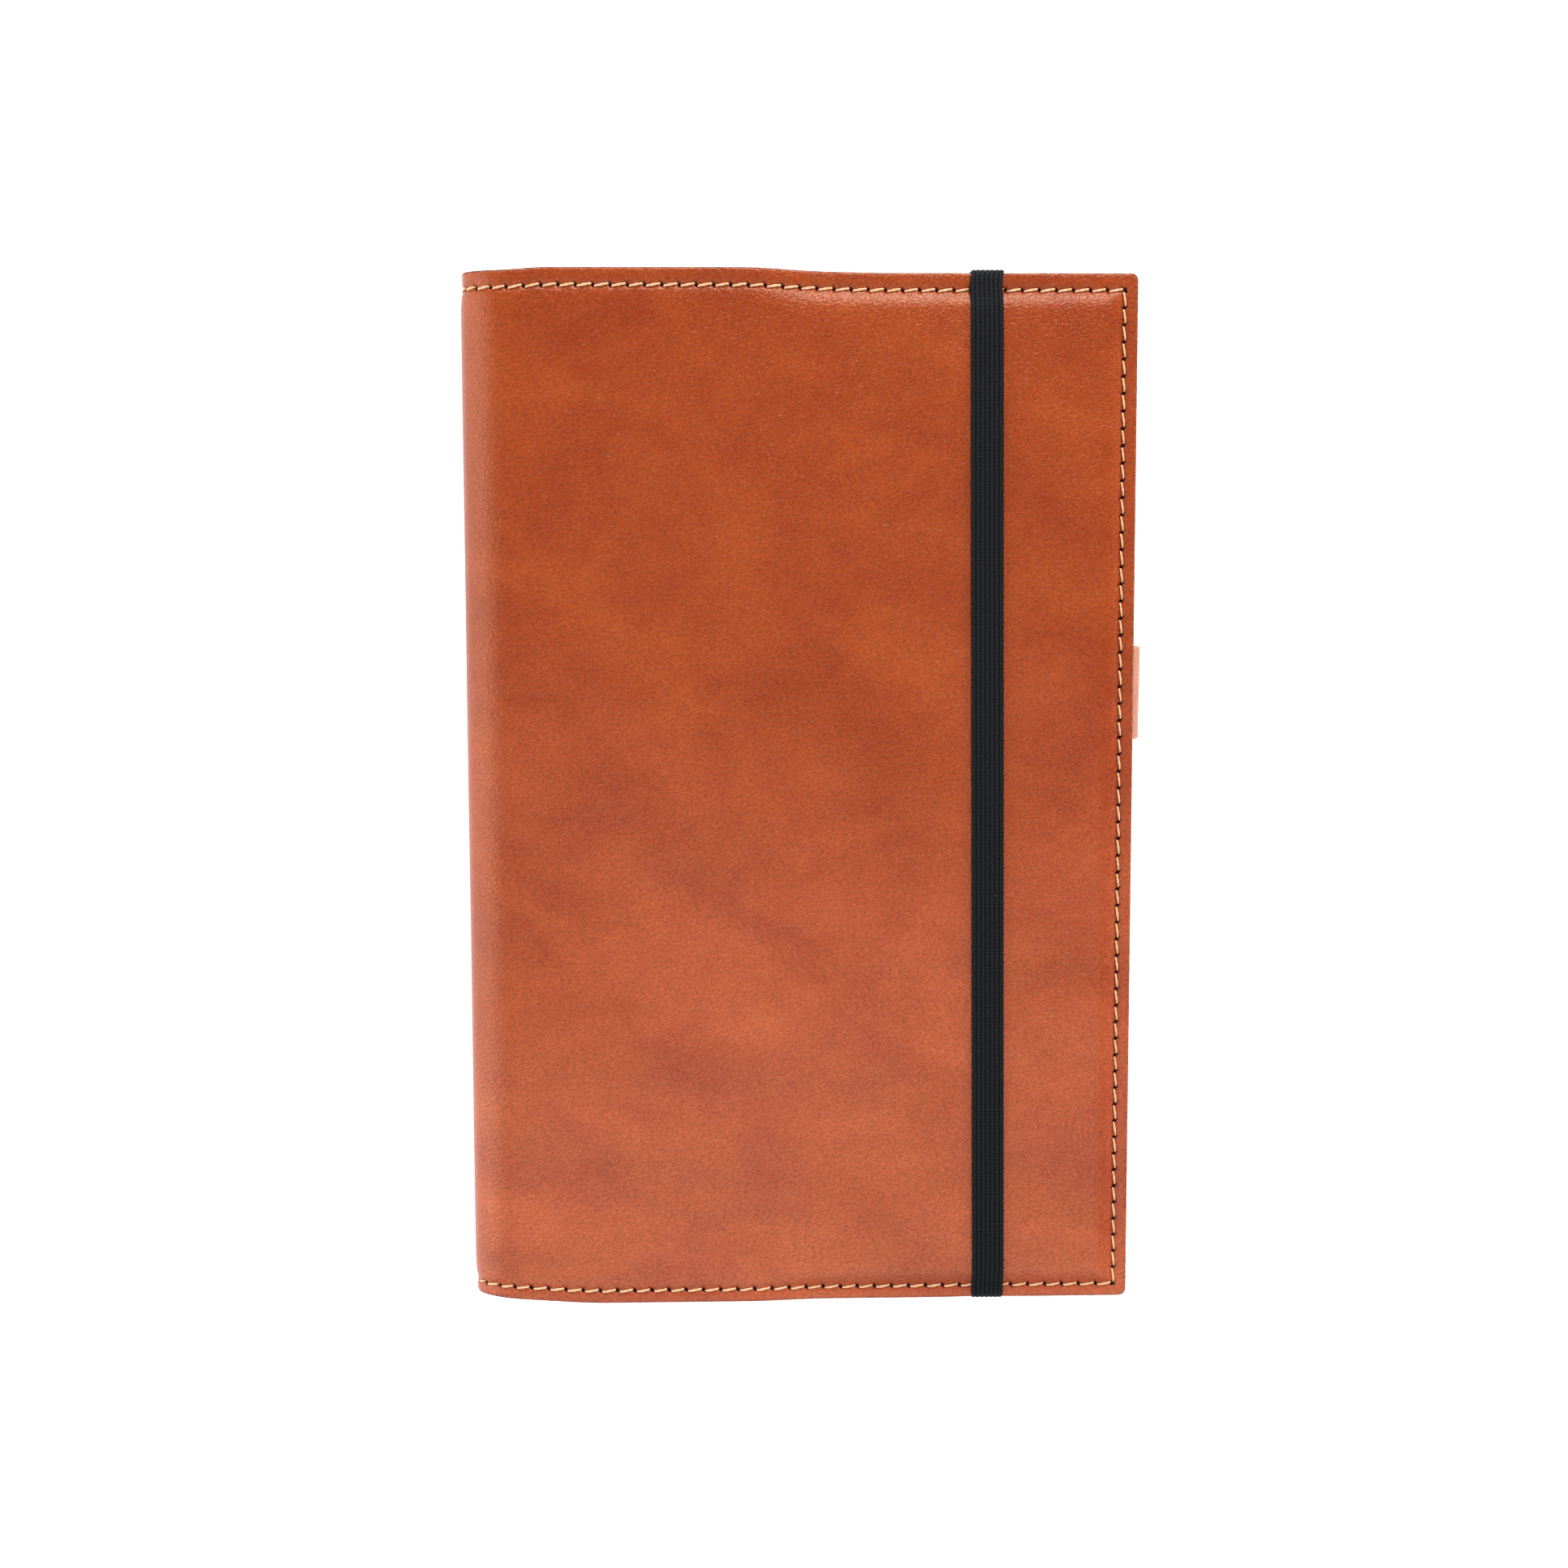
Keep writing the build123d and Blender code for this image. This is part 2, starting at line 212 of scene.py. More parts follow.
def mesh_object(name, points, faces, flat, material):
    """A smooth object. Its flat places, in millimetres, are kept for the materials to read."""
    mesh = bpy.data.meshes.new(name)
    mesh.from_pydata((np.asarray(points) * MM).tolist(), [], faces)
    mesh.materials.append(material)
    places = mesh.attributes.new("flat", "FLOAT_VECTOR", "POINT")
    places.data.foreach_set("vector", np.asarray(flat, np.float32).ravel())
    mesh.shade_smooth()
    mesh.set_sharp_from_angle(angle=math.radians(65))
    obj = bpy.data.objects.new(name, mesh)
    bpy.context.scene.collection.objects.link(obj)
    return obj


def ladder(low, high, step):
    return np.linspace(low, high, max(2, int(math.ceil((high - low) / step)) + 1))


def lattice(ss, ys):
    return [(s, y) for s in ss for y in ys]


def round_over(rim, radius):
    """Depth of a rounded edge at a distance from the rim."""
    inner = radius - np.clip(rim, 0, radius)
    return radius - np.sqrt(radius ** 2 - inner ** 2)


def rim_rows(s_low, s_high, half, radius, open_low, open_high, step):
    """Rows of places that shape the rounded edges of a sheet; open ends get them too."""
    offsets = [radius * f for f in (0, 0.08, 0.3, 0.62, 1.0, 1.8)]
    ss, ys = ladder(s_low, s_high, step), ladder(-half, half, step)
    rows = [(s, side * (half - d)) for side in (-1, 1) for d in offsets for s in ss]
    if open_low:
        rows += [(s_low + d, y) for d in offsets for y in ys]
    if open_high:
        rows += [(s_high - d, y) for d in offsets for y in ys]
    return rows


def round_corners(s, y, edge_s, inwards, half, radius):
    """Moves the places near one end's two corners on to quarter circles."""
    a = radius - (s - edge_s) * inwards
    b = np.abs(y) - (half - radius)
    near = (a > 0) & (b > 0)
    squeeze = np.where(near, np.maximum(a, b) / np.maximum(np.hypot(a, b), 1e-9), 1.0)
    new_s = np.where(near, edge_s + inwards * (radius - a * squeeze), s)
    new_y = np.where(near, np.sign(y) * (half - radius + b * squeeze), y)
    return new_s, new_y


def sheet_mesh(name, points, top, bottom, material, corners=(), soft=True, mark=None):
    """A closed sheet through flat places. top and bottom give the depth of its two faces.

    Materials read the top face's depth from mark, if it is given.
    """
    made = geometry.delaunay_2d_cdt([Vector(p) for p in points], [], [], 0, 0.02)
    flat = np.array([v[:] for v in made[0]])
    s, y = flat[:, 0], flat[:, 1]
    top_depth, bottom_depth = top(s, y), bottom(s, y)
    top_mark = mark(s, y) if mark else top_depth
    for edge_s, inwards, half, radius in corners:
        s, y = round_corners(s, y, edge_s, inwards, half, radius)
    count = len(s)
    faces = [tuple(f) for f in made[2]]
    directed = {(f[i], f[(i + 1) % 3]) for f in faces for i in range(3)}
    walls = [(b, a, a + count, b + count) for a, b in directed if (b, a) not in directed]
    under = [tuple(v + count for v in reversed(f)) for f in faces]
    points = np.vstack([place(s, y, top_depth, soft), place(s, y, bottom_depth, soft)])
    places = np.vstack([np.column_stack([s, y, top_mark]), np.column_stack([s, y, bottom_depth])])
    return mesh_object(name, points, faces + under + walls, places, material)


def ride_or_bend(piece, k, deepest):
    """Bakes the piece's transform into its mesh. It works out where fold k starts and ends, but does not use
    them.
    """
    ends = bend(np.array([bend_start[k], bend_end[k]]), np.zeros(2))
    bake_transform(piece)
    return piece


def section_lines(k, panel_step, bend_step):
    """S values across piece k, closer together where it bends and at its cut ends."""
    low, high = cuts[k], cuts[k + 1]
    lines = set(ladder(max(low, bend_start[k]), min(high, bend_end[k]), bend_step))
    if k == 0:
        lines |= set(ladder(low, bend_start[k], panel_step)) | {high - 0.1}
    elif k == last_piece:
        lines |= set(ladder(bend_end[k], high, panel_step)) | {low + 0.1}
    else:
        lines |= {low + 0.1, high - 0.1}
    return sorted(lines)


# ---- the seam ----

def seam_holes():
    """Needle holes as (s, y, direction of the seam), going up the head and foot rows and both columns."""
    def spread(low, high, pitch):
        return np.linspace(low, high, round((high - low) / pitch) + 1)

    ends = seam_inset, total_s - seam_inset
    column_y = spread(seam_foot, seam_head, column_pitch)
    rows = [[(s, y, (1, 0)) for s in spread(*ends, pitch)]
            for y, pitch in ((seam_foot, foot_pitch), (seam_head, head_pitch))]
    return rows + [[(s, y, (0, 1)) for y in column_y] for s in ends]


seam_rows = seam_holes()
slit_length, slit_w, slit_depth = 0.68, 0.28, 0.9


def slit_direction(direction):
    """The awl's slits slant across the seam."""
    return np.array([1, -1] if direction == (1, 0) else [1, 1]) / math.sqrt(2)


def slit_places(low, high):
    """Places close round each slit, so that its dent is smooth."""
    places = []
    for hole_s, hole_y, direction in (hole for row in seam_rows for hole in row):
        if not low + 1 < hole_s < high - 1:
            continue
        run = slit_direction(direction)
        for a in (-1.5, -1.0, -0.5, 0, 0.5, 1.0, 1.5):
            for b in (-1.7, -0.8, 0, 0.8, 1.7):
                places.append((hole_s + run[0] * a * slit_length - run[1] * b * slit_w,
                               hole_y + run[1] * a * slit_length + run[0] * b * slit_w))
    return places


def slits(s, y):
    """Depth of the slits."""
    depth = np.zeros(len(s))
    for hole_s, hole_y, direction in (hole for row in seam_rows for hole in row):
        near = (np.abs(s - hole_s) < 2) & (np.abs(y - hole_y) < 2)
        if not near.any():
            continue
        run = slit_direction(direction)
        ds, dy = s[near] - hole_s, y[near] - hole_y
        a = (ds * run[0] + dy * run[1]) / slit_length
        b = (-ds * run[1] + dy * run[0]) / slit_w
        depth[near] = np.maximum(depth[near], slit_depth * np.exp(-(a ** 4 + b ** 2)))
    return depth


def seam_valley(s, y):
    """The shallow valley that the tight thread pulls."""
    u = fore_distance(s)
    to_rows = np.minimum(np.abs(y - seam_foot), np.abs(y - seam_head)) + 4 * np.clip(seam_inset - u, 0, None)
    beyond = np.clip(np.maximum(seam_foot - y, y - seam_head), 0, None)
    to_column = np.abs(u - seam_inset) + 4 * beyond
    return 0.28 * np.exp(-(np.minimum(to_rows, to_column) / 0.75) ** 2)


stitch_half, stitch_r = 1.5, 0.25
column_girth = 0.82
pattern_shift = 7  # along the fibres from one stitch to the next, so that no two look the same


def stitch_form():
    """One stitch as (run, across, up) and its faces: two plies twisted together, its ends in the holes."""
    rings, sides = 13, 10
    t = np.repeat(np.linspace(-1, 1, rings), sides)
    angle = np.tile(np.linspace(0, 2 * math.pi, sides, endpoint=False), rings)
    plies = 1 + 0.16 * np.cos(2 * (angle - 3.4 * t)) - 0.35 * np.abs(t) ** 4
    run = stitch_half * t
    across = stitch_r * plies * np.cos(angle) + 0.27 * t
    up = 0.9 * stitch_r * plies * np.sin(angle) - 0.07 - 0.55 * np.abs(t) ** 5
    faces = [
        (r * sides + i, r * sides + (i + 1) % sides, (r + 1) * sides + (i + 1) % sides, (r + 1) * sides + i)
        for r in range(rings - 1)
        for i in range(sides)
    ]
    faces.append(tuple(reversed(range(sides))))
    faces.append(tuple(range((rings - 1) * sides, rings * sides)))
    return np.column_stack([run, across, up]), faces


stitch_shape, stitch_faces = stitch_form()


def inner_depth(s):
    """Depth of the inside face at the seam: the pocket's margin, or the bare lining between the pockets."""
    return np.where(fore_distance(s) < pocket_width - 1.5, lining_in + pocket_t, lining_in)


def thread_piece(k, material):
    """The stitches of piece k, outside and inside."""
    points, flats, faces = [], [], []
    for row in seam_rows:
        for (s0, y0, direction), (s1, y1, _) in zip(row, row[1:]):
            middle_s, middle_y = (s0 + s1) / 2, (y0 + y1) / 2
            if not cuts[k] <= middle_s < cuts[k + 1]:
                continue
            girth = column_girth if direction == (0, 1) else 1.0
            run, across, up = (stitch_shape * draw.uniform(0.95, 1.05) * (1, girth, girth)).T
            lean = -1 if direction == (0, 1) else 1
            s = middle_s + run * direction[0] + lean * across * direction[1]
            y = middle_y + run * direction[1] + across * direction[0]
            inside = float(inner_depth(middle_s))
            for depth, order in ((-up, 1), (inside + up, -1)):
                first = sum(len(p) for p in points)
                order = order * lean if direction == (0, 1) else order
                faces += [tuple(v + first for v in face[::-order]) for face in stitch_faces]
                points.append(place(s, y, depth))
                flats.append(np.column_stack([run + pattern_shift * len(points), across, up]))
    return mesh_object(f"seam_thread_{k + 1}", np.vstack(points), faces, np.vstack(flats),
                       material)


# ---- the leather, the lining and the notebook's cloth ----

edge_r = 0.62
fore_corner_r = 1.5
beside_seam = (-1.6, -1.1, -0.7, -0.35, 0, 0.35, 0.7, 1.1, 1.6)
inside_seam = (2.1, 2.6, 3.2, 4.2)


def leather_piece(k, material):
    """Piece k of the outer leather, with its seam valley, slits and rounded edges."""
    low, high = cuts[k], cuts[k + 1]
    points = lattice(section_lines(k, 4.0, 0.42), ladder(-half_height, half_height, 4.0))
    points += rim_rows(low, high, half_height, edge_r, k == 0, k == last_piece, 1.2)
    fine = section_lines(k, 0.95, 0.42)
    for y in (seam_foot, seam_head):
        points += lattice(fine, [y + d for d in beside_seam])
    for y, inwards in ((seam_foot, 1), (seam_head, -1)):
        points += lattice(section_lines(k, 2.5, 0.42), [y + inwards * d for d in inside_seam])
    if k in (0, last_piece):
        column = seam_inset if k == 0 else total_s - seam_inset
        inwards = 1 if k == 0 else -1
        points += lattice([column + d for d in beside_seam], ladder(seam_foot, seam_head, 0.95))
        points += lattice([column + inwards * d for d in inside_seam], ladder(seam_foot, seam_head, 2.5))
    points += slit_places(low, high)
    points = [(s, y) for s, y in points if low - 1e-6 <= s <= high + 1e-6 and abs(y) <= half_height + 1e-6]

    def rim(s, y):
        return round_over(np.minimum(half_height - np.abs(y), fore_distance(s)), edge_r)

    def top(s, y):
        return rim(s, y) + seam_valley(s, y) + slits(s, y)

    def bottom(s, y):
        return lining_from - 0.02 - rim(s, y)

    corners = [(0.0, 1, half_height, fore_corner_r)] if k == 0 else []
    corners += [(total_s, -1, half_height, fore_corner_r)] if k == last_piece else []
    # The slits join the rims in the mark, so the dark edge colour paints shade into the needle holes.
    return sheet_mesh(f"outer_leather_{k + 1}", points, top, bottom, material, corners,
                      mark=lambda s, y: rim(s, y) + slits(s, y))


def inner_piece(name, k, depths, half, edge_gap, radius, material, soft):
    """A plain layer inside the leather: the lining, or the notebook's cloth."""
    low = edge_gap if k == 0 else cuts[k]
    high = total_s - edge_gap if k == last_piece else cuts[k + 1]
    points = lattice([s for s in section_lines(k, 4.0, 0.6) if low <= s <= high] + [low, high],
                     ladder(-half, half, 4.0))
    points += rim_rows(low, high, half, radius, k == 0, k == last_piece, 3.0)

    def rim(s, y):
        reach = np.minimum(half - np.abs(y), fore_distance(s) - edge_gap)
        return round_over(np.clip(reach, 0, None), radius)

    return sheet_mesh(name, points, lambda s, y: depths[0] + rim(s, y), lambda s, y: depths[1] - rim(s, y),
                      material, soft=soft)


def panel_sheet(name, front, reach, half, radius, corner_r, top, bottom, material,
                extra=(), soft=True):
    """A sheet on one panel. reach is its nearest and farthest distance from the fore-edge."""
    near, far = reach
    flip = (lambda u: total_s - u) if front else (lambda u: u)
    points = lattice(ladder(near, far, 4.0), ladder(-half, half, 4.0))
    points += rim_rows(near, far, half, radius, True, True, 2.5)
    if corner_r:
        corner = [f * corner_r for f in (0, 0.2, 0.4, 0.6, 0.8, 1.0)]
        points += [(near + a, side * (half - b)) for side in (-1, 1) for a in corner for b in corner]
    points += list(extra)
    points = [(flip(u), y) for u, y in points if near - 1e-6 <= u <= far + 1e-6 and abs(y) <= half + 1e-6]

    def rim(s, y):
        u = fore_distance(s)
        reach_in = np.minimum(half - np.abs(y), np.minimum(u - near, far - u))
        return round_over(np.clip(reach_in, 0, None), radius)

    corners = [(flip(near), -1 if front else 1, half, corner_r)] if corner_r else []
    return sheet_mesh(name, points, lambda s, y: top(s, y) + rim(s, y),
                      lambda s, y: bottom(s, y) - rim(s, y), material, corners, soft)


def pocket_rise(s, y):
    """1 over the board and 0 on the sewn margin."""
    inside = np.minimum(fore_distance(s) - board_gap, board_half - np.abs(y))
    return smooth(inside, -1.9, -0.2)


def pocket(name, front, material):
    """A flap formed over the board and sewn down round three sides."""
    near, half = 0.25, half_height - 0.25
    across, up = ladder(near, pocket_width, 3.0), ladder(-half, half, 3.0)
    beside_board = np.arange(-2.2, 0.3, 0.3)
    beside = (-1.5, -0.9, -0.4, 0, 0.4, 0.9, 1.5)
    extra = lattice([board_gap + d for d in beside_board], up)
    extra += lattice(across, [side * (board_half - d) for side in (-1, 1) for d in beside_board])
    extra += lattice(across, [y + d for y in (seam_foot, seam_head) for d in beside])
    extra += lattice([seam_inset + d for d in beside], up)
    rise = notebook_in - lining_in

    def top(s, y):
        return lining_in + 0.02 + rise * pocket_rise(s, y)

    def bottom(s, y):
        valley = 0.6 * seam_valley(s, y)
        return lining_in + pocket_t + rise * pocket_rise(s, y) - valley

    return panel_sheet(name, front, (near, pocket_width), half, radius=0.35, corner_r=1.5,
                       top=top, bottom=bottom, material=material, extra=extra)


def constant(value):
    return lambda s, y: np.full(len(s), value)


# ---- ribbons: strips with a section swept along a path ----

def ribbon_mesh(name, path, normals, sideways, section, flat, material):
    """Sweeps a closed section along a path. section(i) gives (width, height) offsets at station i."""
    rings = [
        path[i] + np.outer(section(i)[:, 0], sideways) + np.outer(section(i)[:, 1], normals[i])
        for i in range(len(path))
    ]
    sides = len(rings[0])
    faces = [
        (r * sides + i, r * sides + (i + 1) % sides, (r + 1) * sides + (i + 1) % sides, (r + 1) * sides + i)
        for r in range(len(rings) - 1)
        for i in range(sides)
    ]
    faces.append(tuple(reversed(range(sides))))
    faces.append(tuple(range((len(rings) - 1) * sides, len(rings) * sides)))
    return mesh_object(name, np.vstack(rings), faces, flat, material)


def path_length(path):
    steps = np.linalg.norm(np.diff(path, axis=0), axis=1)
    return np.concatenate([[0], np.cumsum(steps)])


def resample(path, step):
    """Evenly spaced points along a path."""
    length = path_length(path)
    wanted = ladder(0, length[-1], step)
    return np.column_stack([np.interp(wanted, length, path[:, i]) for i in range(path.shape[1])])


def soften(path, passes):
    """Rounds a path's corners by averaging neighbours, keeping its ends."""
    for _ in range(passes):
        path[1:-1] = 0.25 * path[:-2] + 0.5 * path[1:-1] + 0.25 * path[2:]
    return path


elastic_half_w = (band_high.x - band_low.x) / 2 - 0.1
elastic_ribs = 7


def elastic(material):
    """The ribbed band: over the front, round the head and foot edges, and into the back's seams."""
    thickness = 0.8
    half_w = elastic_half_w
    skew, kink = 0.0072, 0.6
    run_y = np.arange(-half_height + 1.0, half_height - 0.5, 2.0)
    top = place(np.full(len(run_y), band_s), run_y, 0)
    lift = thickness / 2 + 0.06
    tail_z = lining_in + thickness / 2 + 0.35
    edge = half_height - 0.5 + thickness / 2 + 0.1
    shoulder = top[0][2] - 0.5
    corner = [(-edge + 4.5, tail_z), (-edge, tail_z), (-edge, shoulder)]
    path = np.array(corner + [(p[1], p[2] + lift) for p in top] + [(-y, z) for y, z in reversed(corner)])
    path = soften(resample(path, 0.4), 5)
    heading = np.gradient(path, axis=0)
    heading /= np.linalg.norm(heading, axis=1)[:, None]
    normals = np.column_stack([np.zeros(len(path)), -heading[:, 1], heading[:, 0]])
    lean = kink * smooth(path[:, 0], half_height - 2, half_height + 1) - skew * path[:, 0]
    stations = np.column_stack([band_x + lean, path[:, 0], path[:, 1]])
    length = path_length(path)
    across = np.linspace(-1, 1, elastic_ribs * 6 + 1)
    rib = 0.55 + 0.45 * np.abs(np.cos(math.pi * elastic_ribs * across / 2)) ** 0.6
    crown = thickness / 2 * rib * (1 - np.abs(across) ** 14 * 0.55)

    def section(i):
        picot = half_w + 0.09 * math.sin(2 * math.pi * length[i] / 0.85)
        over = np.column_stack([across * picot, crown])
        under = np.column_stack([across[::-1] * picot, -crown[::-1]])
        return np.vstack([over, under])

    width = np.concatenate([across * half_w, across[::-1] * half_w])
    flat = np.column_stack([
        np.tile(width, len(path)),
        np.repeat(length, len(width)),
        np.zeros(len(path) * len(width)),
    ])
    return ribbon_mesh("elastic_ribbon", stations, normals, np.array([1.0, 0, 0]), section, flat,
                       material)


def pen_loop(material):
    """A strip rolled into a tube, with its tail flat on the pocket's margin."""
    thickness = 1.1
    outer = (loop_high.x - loop_low.x) / 2
    centre_x, centre_z = (loop_low.x + loop_high.x) / 2, loop_high.z - outer
    radius = outer - thickness / 2
    angles = np.radians(np.arange(-90, 258, 6.0))
    tail = [(centre_x - d, centre_z - radius) for d in (3.6, 2.7, 1.8, 0.9)]
    tube = [(centre_x + radius * math.cos(a), centre_z + radius * math.sin(a)) for a in angles]
    path = np.array(tail + tube)
    heading = np.gradient(path, axis=0)
    heading /= np.linalg.norm(heading, axis=1)[:, None]
    normals = np.column_stack([-heading[:, 1], np.zeros(len(path)), heading[:, 0]])
    middle_y = (loop_low.y + loop_high.y) / 2
    stations = np.column_stack([path[:, 0], np.full(len(path), middle_y), path[:, 1]])
    half_w, half_t, edge = (loop_high.y - loop_low.y) / 2, thickness / 2, 0.4
    turns = np.radians(np.arange(0, 91, 22.5))
    quarter = [(half_w - edge + edge * math.cos(a), half_t - edge + edge * math.sin(a)) for a in turns]
    right = [(w, -h) for w, h in reversed(quarter)] + quarter
    inner = [(w, half_t) for w in np.linspace(half_w - 1.2, -half_w + 1.2, 10)]
    left = [(-w, -h) for w, h in right]
    outer_side = [(-w, -h) for w, h in inner]
    shape = np.array(right + inner + left + outer_side)[::-1]
    length = path_length(path)
    flat = np.column_stack([
        np.tile(shape[:, 0], len(path)),
        np.repeat(length, len(shape)),
        np.tile(shape[:, 1], len(path)),
    ])
    sideways = np.array([0.013, 1.0, 0])
    return ribbon_mesh("rolled_pen_loop", stations, normals, sideways, lambda i: shape, flat,
                       material)


def pen_loop_stitches(material):
    """Five stitches along the loop's floor."""
    low, high = box_mm("pen_loop_thread")
    count = round((high.y - low.y) / column_pitch)
    floor_z = high.z
    points, flats, faces = [], [], []
    for n in range(count):
        middle_y = (low.y + high.y) / 2 + column_pitch * (n - (count - 1) / 2)
        run, across, up = (stitch_shape * 0.9).T
        first = sum(len(p) for p in points)
        faces += [tuple(v + first for v in face[::-1]) for face in stitch_faces]
        points.append(np.column_stack([(low.x + high.x) / 2 + across, middle_y + run, floor_z - 0.15 + up]))
        flats.append(np.column_stack([run + pattern_shift * n, across, up]))
    return mesh_object("pen_loop_stitches", np.vstack(points), faces, np.vstack(flats), material)


# ---- the pages ----

def front_inner_z(x, depth):
    """Height of a depth inside the flat front panel, above a place X."""
    return hinges[-1][1] + (x - hinges[-1][0]) * along[-1][1] / slope_cos - depth / slope_cos


def leaves(material):
    """The leaves in their sewn sections, each one a thin closed sheet with rounded fore corners."""
    sections, per_section = 8, 12
    section_gap, leaf_t = 0.06, 0.93
    fold_x = box_mm("block_spine_cloth")[1].x
    bulge = fold_x - pages_low.x
    fore = pages_high.x
    corner_r = 6.0
    corner = np.arange(0, corner_r + 0.1, 1.2)
    plan = lattice(ladder(fold_x, fore, 12), ladder(-page_half, page_half, 30))
    plan += [(fore - a, side * (page_half - b)) for side in (-1, 1) for a in corner for b in corner]
    made = geometry.delaunay_2d_cdt([Vector(p) for p in plan], [], [], 0, 0.02)
    flat = np.array([v[:] for v in made[0]])
    x, y = round_corners(flat[:, 0], flat[:, 1], fore, -1, page_half, corner_r)
    triangles = [tuple(f) for f in made[2]]
    directed = {(f[i], f[(i + 1) % 3]) for f in triangles for i in range(3)}
    rim = [(a, b) for a, b in directed if (b, a) not in directed]
    pocket_edge = fore_x - pocket_width
    over = smooth(x, pocket_edge - 10, pocket_edge)
    low = notebook_in + 0.03 + (pocket_t + 0.02) * over
    high = front_inner_z(x, notebook_in + pocket_t * over) - 0.2
    share_of_bend = 1 - smooth(x, fold_x, fold_x + 14)
    points, flats, faces = [], [], []
    count = sections * per_section
    for n in range(count):
        within = (n % per_section) / per_section
        centre = (n + 0.5) / count
        gap = section_gap if within == 0 else 0.0
        spine_x = bulge * (1 - (2 * centre - 1) ** 2)
        jitter_x, jitter_y = draw.uniform(-0.12, 0.1), draw.uniform(-0.1, 0.1)
        leaf_x = x - spine_x * share_of_bend + jitter_x * smooth(x, 0, fore)
        for share in ((n + gap) / count, (n + leaf_t) / count):
            z = low + (high - low) * share
            points.append(np.column_stack([leaf_x, y + jitter_y, z]))
            flats.append(np.column_stack([leaf_x, y, np.full(len(x), float(n))]))
        size, first = len(x), 2 * n * len(x)
        faces += [tuple(v + first for v in reversed(f)) for f in triangles]
        faces += [tuple(v + first + size for v in f) for f in triangles]
        faces += [(a + first, b + first, b + first + size, a + first + size) for a, b in rim]
    return mesh_object("page_leaves", np.vstack(points), faces, np.vstack(flats), material)


def headband(name, node_end, material):
    """A striped woven band round the folds, at one end of the pages."""
    low, high = box_mm("headbands")
    y = high.y - 0.5 if node_end > 0 else low.y + 0.5
    start_x = high.x - 0.3
    reach = start_x - low.x - 0.9
    middle_z, half_z = (low.z + high.z) / 2, (high.z - low.z) / 2 - 0.8
    angles = np.radians(np.arange(-90, 91, 2.0))
    path = np.array([(start_x - reach * math.cos(a), middle_z + half_z * math.sin(a)) for a in angles])
    heading = np.gradient(path, axis=0)
    heading /= np.linalg.norm(heading, axis=1)[:, None]
    normals = np.column_stack([-heading[:, 1], np.zeros(len(path)), heading[:, 0]])
    stations = np.column_stack([path[:, 0], np.full(len(path), y), path[:, 1]])
    length = path_length(path)
    ring = np.radians(np.arange(0, 360, 30))

    def section(i):
        radius = 0.55 + 0.08 * math.cos(2 * math.pi * length[i] / 0.9)
        return np.column_stack([radius * np.cos(ring), radius * np.sin(ring)])

    flat = np.column_stack([
        np.tile(ring, len(path)),
        np.repeat(length, len(ring)),
        np.zeros(len(path) * len(ring)),
    ])
    return ribbon_mesh(name, stations, normals, np.array([0, 1.0, 0]), section, flat, material)


# ---- materials ----

class Shader:
    """A material under construction, with short calls for its nodes."""

    def __init__(self, name, roughness=0.5, **constants):
        self.material = bpy.data.materials.new(name)
        self.material.use_nodes = True
        self.tree = self.material.node_tree
        self.surface = self.tree.nodes["Principled BSDF"]
        self.surface.inputs["Roughness"].default_value = roughness
        for socket, value in constants.items():
            self.surface.inputs[socket.replace("_", " ")].default_value = value

    def node(self, kind, settings=None, **inputs):
        made = self.tree.nodes.new(kind)
        for key, value in (settings or {}).items():
            setattr(made, key, value)
        for key, value in inputs.items():
            socket = made.inputs[int(key[1:])] if key[1:].isdigit() else made.inputs[key.replace("_", " ")]
            if isinstance(value, bpy.types.NodeSocket):
                self.tree.links.new(value, socket)
            else:
                socket.default_value = value
        return made

    def flat(self, stretch=(1, 1, 1), angle=0.0):
        """The piece's flat places in millimetres, for patterns stretched along a slanted direction."""
        source = self.node("ShaderNodeAttribute", {"attribute_name": "flat"}).outputs["Vector"]
        mapping = self.node("ShaderNodeMapping", {"vector_type": "TEXTURE"}, Vector=source)
        mapping.inputs["Rotation"].default_value = (0, 0, math.radians(angle))
        mapping.inputs["Scale"].default_value = stretch
        return mapping.outputs["Vector"]

    def noise(self, vector, scale, detail=3.0, rough=0.5, distortion=0.0):
        made = self.node("ShaderNodeTexNoise", Vector=vector, Scale=scale, Detail=detail,
                         Roughness=rough, Distortion=distortion)
        return made.outputs["Fac"]

    def ramp(self, value, low, high, out_low=0.0, out_high=1.0):
        made = self.node("ShaderNodeMapRange", Value=value, From_Min=low, From_Max=high,
                         To_Min=out_low, To_Max=out_high)
        return made.outputs["Result"]

    def math(self, operation, a, b=0.0):
        return self.node("ShaderNodeMath", {"operation": operation}, _0=a, _1=b).outputs[0]

    def mix(self, share, a, b):
        made = self.node("ShaderNodeMix", {"data_type": "RGBA"})
        for socket, value in (("Factor", share), ("A", a), ("B", b)):
            target = next(i for i in made.inputs if i.name == socket and i.enabled)
            if isinstance(value, bpy.types.NodeSocket):
                self.tree.links.new(value, target)
            else:
                target.default_value = value
        return next(o for o in made.outputs if o.enabled)

    def component(self, vector, axis):
        return self.node("ShaderNodeSeparateXYZ", Vector=vector).outputs[axis]

    def bump(self, height, distance, strength=1.0):
        made = self.node("ShaderNodeBump", Height=height, Distance=distance * MM, Strength=strength)
        self.tree.links.new(made.outputs["Normal"], self.surface.inputs["Normal"])

    def drive(self, socket, value):
        self.tree.links.new(value, self.surface.inputs[socket])


def rgb(red, green, blue):
    """A colour from its usual 0 to 255 values."""
    channels = [v / 255 for v in (red, green, blue)]
    linear = [v / 12.92 if v <= 0.04045 else ((v + 0.055) / 1.055) ** 2.4 for v in channels]
    return (*linear, 1.0)


